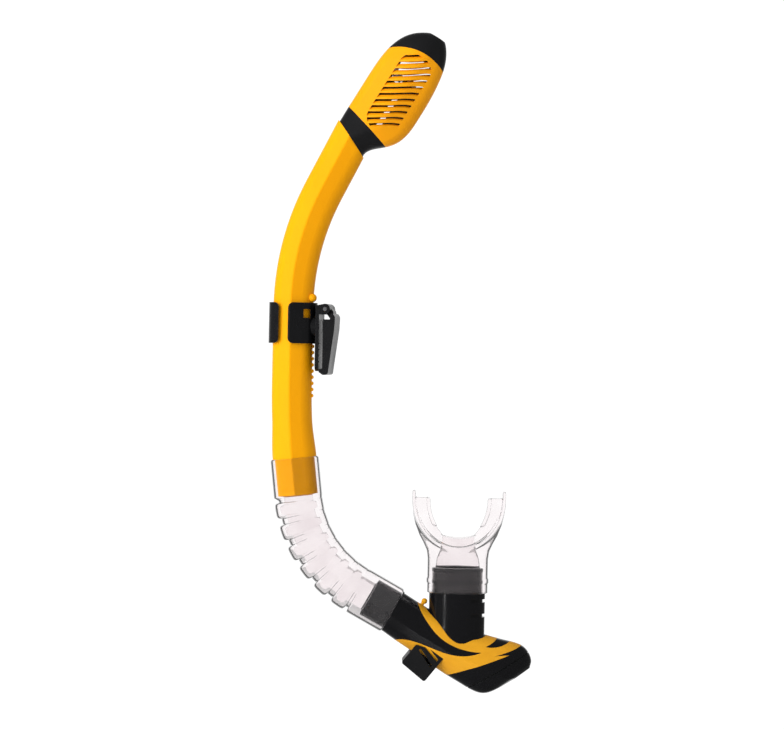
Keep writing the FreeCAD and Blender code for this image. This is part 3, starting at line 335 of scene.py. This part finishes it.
def mouthpiece():
    """Neck, lip shield, bite wings and spout, melted into each other as moulded silicone is.

    The last number of every smooth_min and smooth_max is the width of the soft edge that it leaves.
    """
    lo, hi = np.array(GRID_LOW), np.array(GRID_HIGH)
    size = np.ceil((hi - lo) / VOXEL).astype(int)
    axes = [lo[i] + VOXEL * np.arange(size[i]) for i in range(3)]
    x, y, z = np.meshgrid(*axes, indexing="ij")

    def between(outside, inside):
        return smooth_max(arch_distance(x, z, *outside), -arch_distance(x, z, *inside), 1.0)

    neck = oval_distance(x, y, np.interp(z, NECK_Z, NECK_A), np.interp(z, NECK_Z, NECK_B))
    neck = smooth_max(neck, span(z, NECK_Z[0], NECK_Z[-1]), 0.6)
    bead = smooth_max(oval_distance(x, y, *BEAD), span(z, *BEAD_SPAN), 0.8)
    body = smooth_min(neck, bead, 0.8)

    inner = arch_distance(x, z, ARCH_A - SHIELD_T, ARCH_H - SHIELD_T)
    body = smooth_max(body, -inner, 1.0)
    shield = smooth_max(arch_distance(x, z, ARCH_A, ARCH_H), -inner, 1.2)
    shield = smooth_max(shield, np.abs(y) - np.interp(z, SHIELD_Z, SHIELD_HALF_D), 2.0)
    shield = smooth_max(shield, z - SHIELD_TOP, 1.6)
    body = smooth_min(body, shield, 3.0)

    wings = between((ARCH_A - 0.5, ARCH_H - 0.5), WING_INSIDE)
    wings = smooth_max(wings, np.abs(y) - WING_HALF_T, 1.4)
    wings = smooth_max(wings, np.minimum(WING_GAP - np.abs(x), z - WING_GAP_TOP), 1.0)
    wings = smooth_max(wings, z - WING_TOP, 1.4)
    body = smooth_min(body, wings, 1.6)
    ridge = between(RIDGE_OUTSIDE, RIDGE_INSIDE)
    ridge = smooth_max(ridge, np.abs(y) - RIDGE_HALF_D, 1.4)
    ridge = smooth_max(ridge, RIDGE_GAP - np.abs(x), 1.0)
    ridge = smooth_max(ridge, span(z, RIDGE_LOW, WING_TOP), 1.4)
    body = smooth_min(body, ridge, 1.2)

    lip = SPOUT_TOP + SPOUT_CURL * (x / SPOUT[0]) ** 2
    spout = smooth_max(oval_distance(x, y, *SPOUT), span(z, SPOUT_LOW, lip), 1.2)
    body = smooth_min(body, spout, 1.6)

    bore = oval_distance(x, y, np.interp(z, BORE_Z, BORE_A), np.interp(z, BORE_Z, BORE_B))
    body = smooth_max(body, -smooth_max(bore, BORE_LOW - z, 0.6), 0.8)
    socket = smooth_max(oval_distance(x, y, *SOCKET), z - SOCKET_TOP, 0.5)
    body = smooth_max(body, -socket, 0.4)

    grid = openvdb.FloatGrid()
    grid.copyFromArray(body.astype(np.float32))
    points, quads = grid.convertToQuads(0.0)
    points = points * VOXEL + lo + MOUTH.point()
    return new_mesh("mouthpiece_soft", points * MM, quads[:, ::-1])


# ---- materials -------------------------------------------------------------------------------
class Look:
    """Node-based material with one Principled shader; every helper returns a socket."""

    def __init__(self, name):
        self.material = bpy.data.materials.new(name)
        self.material.use_nodes = True
        self.tree = self.material.node_tree
        self.shader = next(n for n in self.tree.nodes if n.type == "BSDF_PRINCIPLED")
        self.where = self.node("ShaderNodeTexCoord").outputs["Object"]

    def node(self, kind, **settings):
        node = self.tree.nodes.new(kind)
        for key, value in settings.items():
            setattr(node, key, value)
        return node

    def link(self, source, target):
        self.tree.links.new(source, target)

    def put(self, socket, value):
        if isinstance(value, bpy.types.NodeSocket):
            self.link(value, socket)
        else:
            socket.default_value = value

    def noise(self, scale, detail=3.0, roughness=0.5, stretch=None, seed=0.0):
        """Noise from 0 to 1; scale is the number of features per metre."""
        node = self.node("ShaderNodeTexNoise", noise_dimensions="4D")
        where = self.where
        if stretch is not None:
            mapping = self.node("ShaderNodeMapping")
            mapping.inputs["Scale"].default_value = stretch
            self.link(where, mapping.inputs["Vector"])
            where = mapping.outputs["Vector"]
        self.link(where, node.inputs["Vector"])
        node.inputs["W"].default_value = seed
        node.inputs["Scale"].default_value = scale
        node.inputs["Detail"].default_value = detail
        node.inputs["Roughness"].default_value = roughness
        return node.outputs["Fac"]

    def cells(self, scale, feature="DISTANCE_TO_EDGE"):
        node = self.node("ShaderNodeTexVoronoi", feature=feature)
        self.link(self.where, node.inputs["Vector"])
        node.inputs["Scale"].default_value = scale
        return node.outputs["Distance"]

    def spread(self, value, low, high, to_low=0.0, to_high=1.0):
        node = self.node("ShaderNodeMapRange", interpolation_type="SMOOTHSTEP")
        self.link(value, node.inputs["Value"])
        for name, number in zip(("From Min", "From Max", "To Min", "To Max"), (low, high, to_low, to_high)):
            node.inputs[name].default_value = number
        return node.outputs["Result"]

    def math(self, operation, a, b):
        node = self.node("ShaderNodeMath", operation=operation)
        self.put(node.inputs[0], a)
        self.put(node.inputs[1], b)
        return node.outputs[0]

    def mix(self, share, a, b):
        node = self.node("ShaderNodeMix", data_type="RGBA")
        self.put(node.inputs["Factor"], share)
        self.put(node.inputs[6], a)
        self.put(node.inputs[7], b)
        return node.outputs[2]

    def edges(self, radius):
        """1 on sharp outer and inner edges, 0 on plain faces."""
        plain = self.node("ShaderNodeNewGeometry").outputs["Normal"]
        dot = self.node("ShaderNodeVectorMath", operation="DOT_PRODUCT")
        self.link(self.rounded(radius), dot.inputs[0])
        self.link(plain, dot.inputs[1])
        turned = self.math("SUBTRACT", 1.0, dot.outputs["Value"])
        return self.spread(turned, 0.02, 0.25)

    def rounded(self, radius):
        bevel = self.node("ShaderNodeBevel", samples=6)
        bevel.inputs["Radius"].default_value = radius
        return bevel.outputs["Normal"]

    def bump(self, height, distance, strength=1.0, normal=None):
        node = self.node("ShaderNodeBump")
        node.inputs["Strength"].default_value = strength
        node.inputs["Distance"].default_value = distance
        self.link(height, node.inputs["Height"])
        if normal is not None:
            self.link(normal, node.inputs["Normal"])
        return node.outputs["Normal"]

    def set(self, **values):
        names = {
            "colour": "Base Color",
            "roughness": "Roughness",
            "specular": "Specular IOR Level",
            "ior": "IOR",
            "transmission": "Transmission Weight",
            "normal": "Normal",
            "metallic": "Metallic",
        }
        for key, value in values.items():
            self.put(self.shader.inputs[names[key]], value)
        return self.material


def rgb(r, g, b):
    return (r, g, b, 1.0)


EDGE = 0.0004                   # rounding that a moulded edge shows, in metres


def moulded(name, base, darker, worn, specular, roughness, grain, grain_depth):
    """Injection-moulded plastic: cloudy colour, fine grain, handling marks and paler worn edges."""
    look = Look(name)
    cloud = look.spread(look.noise(22, 4, 0.55), 0.35, 0.68)
    flow = look.spread(look.noise(90, 3, 0.5, stretch=(1, 1, 0.25), seed=2.0), 0.4, 0.7)
    colour = look.mix(look.math("MULTIPLY", cloud, 0.55), base, darker)
    colour = look.mix(look.math("MULTIPLY", flow, 0.18), colour, darker)
    worn_patches = look.spread(look.noise(260, 4, 0.6, seed=5.0), 0.42, 0.62)
    rub = look.math("MULTIPLY", look.edges(EDGE * 1.8), worn_patches)
    colour = look.mix(look.math("MULTIPLY", rub, 0.5), colour, worn)
    scuff = look.spread(look.noise(420, 5, 0.62, stretch=(1, 1, 0.12), seed=9.0), 0.56, 0.74)
    rough = look.spread(look.noise(45, 4, 0.5, seed=3.0), 0.3, 0.7, roughness - 0.05, roughness + 0.06)
    rough = look.math("ADD", rough, look.math("MULTIPLY", scuff, 0.10))
    rough = look.math("ADD", rough, look.math("MULTIPLY", rub, 0.12))
    height = look.math("ADD", look.noise(grain, 2, 0.5, seed=7.0), look.math("MULTIPLY", scuff, 0.35))
    normal = look.bump(height, grain_depth, 0.6, look.rounded(EDGE))
    return look.set(colour=colour, roughness=rough, specular=specular, normal=normal)


def clear_silicone(name):
    """Clear silicone: slightly milky and pink, with faint flow clouds, haze and a soft surface."""
    look = Look(name)
    cloud = look.spread(look.noise(60, 4, 0.55), 0.35, 0.7)
    colour = look.mix(cloud, rgb(0.93, 0.895, 0.90), rgb(0.87, 0.825, 0.835))
    dust = look.spread(look.noise(1400, 3, 0.6, seed=4.0), 0.62, 0.75)
    rough = look.spread(look.noise(120, 4, 0.5, seed=3.0), 0.3, 0.7, 0.05, 0.11)
    rough = look.math("ADD", rough, look.math("MULTIPLY", dust, 0.06))
    normal = look.bump(look.noise(700, 3, 0.5, seed=7.0), 0.00003, 0.5)
    return look.set(colour=colour, roughness=rough, ior=1.14, transmission=0.992, normal=normal)


def rubber(name, base, darker, roughness):
    look = Look(name)
    cloud = look.spread(look.noise(40, 4, 0.6), 0.35, 0.7)
    bloom = look.spread(look.noise(300, 4, 0.6, seed=6.0), 0.5, 0.75)
    colour = look.mix(look.math("MULTIPLY", cloud, 0.6), base, darker)
    rough = look.spread(bloom, 0.0, 1.0, roughness, roughness + 0.15)
    normal = look.bump(look.noise(1800, 3, 0.6, seed=2.0), 0.00004, 0.6, look.rounded(0.0003))
    return look.set(colour=colour, roughness=rough, specular=0.3, normal=normal)


def foam(name):
    look = Look(name)
    pores = look.spread(look.cells(1500), 0.0, 0.22)
    colour = look.mix(pores, rgb(0.02, 0.019, 0.018), rgb(0.05, 0.048, 0.045))
    normal = look.bump(pores, 0.00012, 0.8)
    return look.set(colour=colour, roughness=look.spread(pores, 0, 1, 0.95, 0.8), specular=0.2, normal=normal)


def turned_steel(name):
    look = Look(name)
    lines = look.noise(2400, 2, 0.5, stretch=(1, 0.05, 1))
    cloud = look.spread(look.noise(200, 3, 0.5), 0.3, 0.7)
    colour = look.mix(cloud, rgb(0.62, 0.62, 0.63), rgb(0.48, 0.48, 0.5))
    normal = look.bump(lines, 0.00002, 0.5, look.rounded(0.0002))
    rough = look.spread(lines, 0.3, 0.7, 0.2, 0.34)
    return look.set(colour=colour, roughness=rough, normal=normal, metallic=1.0)


YELLOW = moulded(
    "yellow_moulded",
    base=rgb(0.97, 0.405, 0.002),
    darker=rgb(0.94, 0.37, 0.002),
    worn=rgb(1.0, 0.52, 0.04),
    specular=0.08,
    roughness=0.4,
    grain=2600,
    grain_depth=0.00002,
)
HEAD_YELLOW = moulded(
    "head_yellow",
    base=rgb(0.98, 0.385, 0.004),
    darker=rgb(0.95, 0.35, 0.003),
    worn=rgb(1.0, 0.55, 0.06),
    specular=0.10,
    roughness=0.38,
    grain=2600,
    grain_depth=0.00002,
)
SATIN = moulded(
    "black_satin_moulded",
    base=rgb(0.009, 0.009, 0.010),
    darker=rgb(0.005, 0.005, 0.006),
    worn=rgb(0.05, 0.05, 0.052),
    specular=0.4,
    roughness=0.42,
    grain=1500,
    grain_depth=0.00004,
)
GLOSS = moulded(
    "black_gloss_moulded",
    base=rgb(0.004, 0.004, 0.005),
    darker=rgb(0.003, 0.003, 0.0035),
    worn=rgb(0.03, 0.03, 0.032),
    specular=0.5,
    roughness=0.16,
    grain=900,
    grain_depth=0.000006,
)
KEEPER = moulded(
    "keeper_moulded",
    base=rgb(0.006, 0.006, 0.007),
    darker=rgb(0.003, 0.003, 0.004),
    worn=rgb(0.06, 0.06, 0.062),
    specular=0.5,
    roughness=0.3,
    grain=1200,
    grain_depth=0.00003,
)
ACCENT = rubber("accent_soft", rgb(0.78, 0.36, 0.008), rgb(0.66, 0.28, 0.006), 0.5)
SILICONE = clear_silicone("clear_silicone_look")
SEAL = rubber("silicone_seal_look", rgb(0.55, 0.56, 0.58), rgb(0.45, 0.46, 0.48), 0.5)
DARK_RUBBER = rubber("seal_rubber_look", rgb(0.012, 0.012, 0.013), rgb(0.006, 0.006, 0.007), 0.6)
FOAM = foam("float_foam_look")
ACETAL = moulded(
    "acetal_look",
    base=rgb(0.72, 0.72, 0.70),
    darker=rgb(0.62, 0.62, 0.60),
    worn=rgb(0.8, 0.8, 0.78),
    specular=0.4,
    roughness=0.4,
    grain=1500,
    grain_depth=0.00002,
)
STEEL = turned_steel("steel_look")

NODE_LOOKS = {
    "barrel": YELLOW,
    "vent_housing": HEAD_YELLOW,
    "dry_top_base": SATIN,
    "top_cap": SATIN,
    "exhaust_duct": SATIN,
    "chamber": GLOSS,
    "sump_cover": GLOSS,
    "keeper_collar": KEEPER,
    "swivel_pin": KEEPER,
    "strap_plate": KEEPER,
    "strap_gate": KEEPER,
    "accent_sleeve": ACCENT,
    "flex_hose": SILICONE,
    "mouthpiece": SILICONE,
    "seal_flap": SEAL,
    "exhaust_flap": SEAL,
    "base_seal_ring": DARK_RUBBER,
    "sump_gasket": DARK_RUBBER,
    "float_block": FOAM,
    "valve_lever": ACETAL,
    "lever_pin": STEEL,
    "gate_pin": STEEL,
}
for node_name, look in NODE_LOOKS.items():
    for material_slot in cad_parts[node_name].material_slots:
        material_slot.material = look

# ---- soft pieces -----------------------------------------------------------------------------
hose = flexible_hose()
hose.data.materials.append(SILICONE)
HOSE_START.point() * MM
HOSE_END.point() * MM
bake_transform(hose)
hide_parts("flex_hose")
hose.visible_shadow = False

bite = mouthpiece()
bite.data.materials.append(SILICONE)
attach(bite, "lower")
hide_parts("mouthpiece")
bite.visible_shadow = False

# ---- studio ----------------------------------------------------------------------------------
FLOOR_Z = -0.42


def floor():
    """Round pale sheet under the object, with a rolled edge."""
    points, faces = [(0.06, 0.0, FLOOR_Z)], []
    count = 96
    rings = ((0.4, 0.0), (0.8, 0.0), (1.15, 0.0), (1.19, -0.004), (1.2, -0.02))
    for radius, drop in rings:
        for i in range(count):
            a = 2 * math.pi * i / count
            points.append((0.06 + radius * math.cos(a), radius * math.sin(a), FLOOR_Z + drop))
    for i in range(count):
        faces.append((0, 1 + i, 1 + (i + 1) % count))
    for ring in range(len(rings) - 1):
        for i in range(count):
            a, b = 1 + ring * count + i, 1 + ring * count + (i + 1) % count
            faces.append((a, a + count, b + count, b))
    sheet = new_mesh("floor", points, faces)
    look = Look("floor_paper")
    colour = look.mix(look.noise(6, 3, 0.5), rgb(0.86, 0.86, 0.86), rgb(0.82, 0.82, 0.815))
    normal = look.bump(look.noise(900, 3, 0.6), 0.00005, 0.4)
    sheet.data.materials.append(look.set(colour=colour, normal=normal))
    look.shader.inputs["Roughness"].default_value = 0.85
    sheet.visible_glossy = False


def softbox(name, place, target, size, radiance, **seen):
    """Rectangular area light at place, facing target, with the given radiance."""
    data = bpy.data.lights.new(name, "AREA")
    data.shape = "RECTANGLE"
    data.size, data.size_y = size
    data.energy = radiance * math.pi * size[0] * size[1]
    lamp = bpy.data.objects.new(name, data)
    SCENE.collection.objects.link(lamp)
    lamp.location = place
    lamp.rotation_euler = (Vector(target) - Vector(place)).to_track_quat("-Z", "Y").to_euler()
    lamp.visible_camera = False
    lamp.visible_transmission = False
    for key, value in seen.items():
        setattr(lamp, "visible_" + key, value)


def studio_world():
    """White surroundings to look at, grey ones for soft light and dark ones for reflections.

    What is seen through the silicone is lit as white, and what it reflects inside is a little darker.
    """
    world = bpy.data.worlds.new("studio")
    SCENE.world = world
    world.use_nodes = True
    tree = world.node_tree
    tree.nodes.clear()
    out = tree.nodes.new("ShaderNodeOutputWorld")
    path = tree.nodes.new("ShaderNodeLightPath")

    def background(level):
        node = tree.nodes.new("ShaderNodeBackground")
        node.inputs["Color"].default_value = (1, 1, 1, 1)
        node.inputs["Strength"].default_value = level
        return node.outputs[0]

    def mixed(share, a, b):
        node = tree.nodes.new("ShaderNodeMixShader")
        tree.links.new(share, node.inputs[0])
        tree.links.new(a, node.inputs[1])
        tree.links.new(b, node.inputs[2])
        return node.outputs[0]

    def worked(operation, a, b):
        node = tree.nodes.new("ShaderNodeMath")
        node.operation = operation
        node.use_clamp = True
        for socket, value in zip(node.inputs, (a, b)):
            if isinstance(value, bpy.types.NodeSocket):
                tree.links.new(value, socket)
            else:
                socket.default_value = value
        return node.outputs[0]

    # The white backdrop stands behind the object, on its +Y side, so only it shows in grazing reflections.
    heading = tree.nodes.new("ShaderNodeSeparateXYZ")
    tree.links.new(tree.nodes.new("ShaderNodeTexCoord").outputs["Generated"], heading.inputs[0])
    behind = worked("MULTIPLY", worked("SUBTRACT", heading.outputs["Y"], 0.72), 5.0)
    mirrored = mixed(behind, background(0.14), background(0.95))
    lit = mixed(path.outputs["Is Glossy Ray"], background(0.55), mirrored)
    inside = mixed(behind, background(0.4), background(1.0))
    through = mixed(path.outputs["Is Reflection Ray"], background(1.08), inside)
    seen = worked("MAXIMUM", path.outputs["Is Camera Ray"], path.outputs["Transmission Depth"])
    seen = worked("SUBTRACT", seen, path.outputs["Diffuse Depth"])
    tree.links.new(mixed(seen, lit, through), out.inputs["Surface"])


studio_world()
floor()
softbox("key", (-1.30, -1.10, 0.40), (0.03, 0.0, -0.02), (1.5, 1.9), 4.3, glossy=False)
softbox("gloss_panel", (-1.30, -1.10, 0.40), (0.03, 0.0, -0.02), (0.7, 1.9), 1.1, diffuse=False)
softbox("strip", (-0.62, -0.95, -0.10), (0.1, 0.0, -0.15), (0.05, 0.5), 5.0, diffuse=False)
softbox("low_panel", (-0.02, -0.20, -0.40), (0.10, 0.0, -0.20), (0.03, 0.035), 3.0, diffuse=False)

# ---- camera ----------------------------------------------------------------------------------
camera_data = bpy.data.cameras.new("camera")
camera_data.sensor_width = 36.0
camera_data.lens = 141.3
camera_data.clip_start, camera_data.clip_end = 0.05, 20.0
camera = bpy.data.objects.new("camera", camera_data)
camera.location = (0.0648, -2.0, -0.0257)
camera.rotation_euler = Euler((math.radians(90), math.radians(-1.15), 0))
SCENE.collection.objects.link(camera)
SCENE.camera = camera
SCENE.view_settings.view_transform = "Standard"
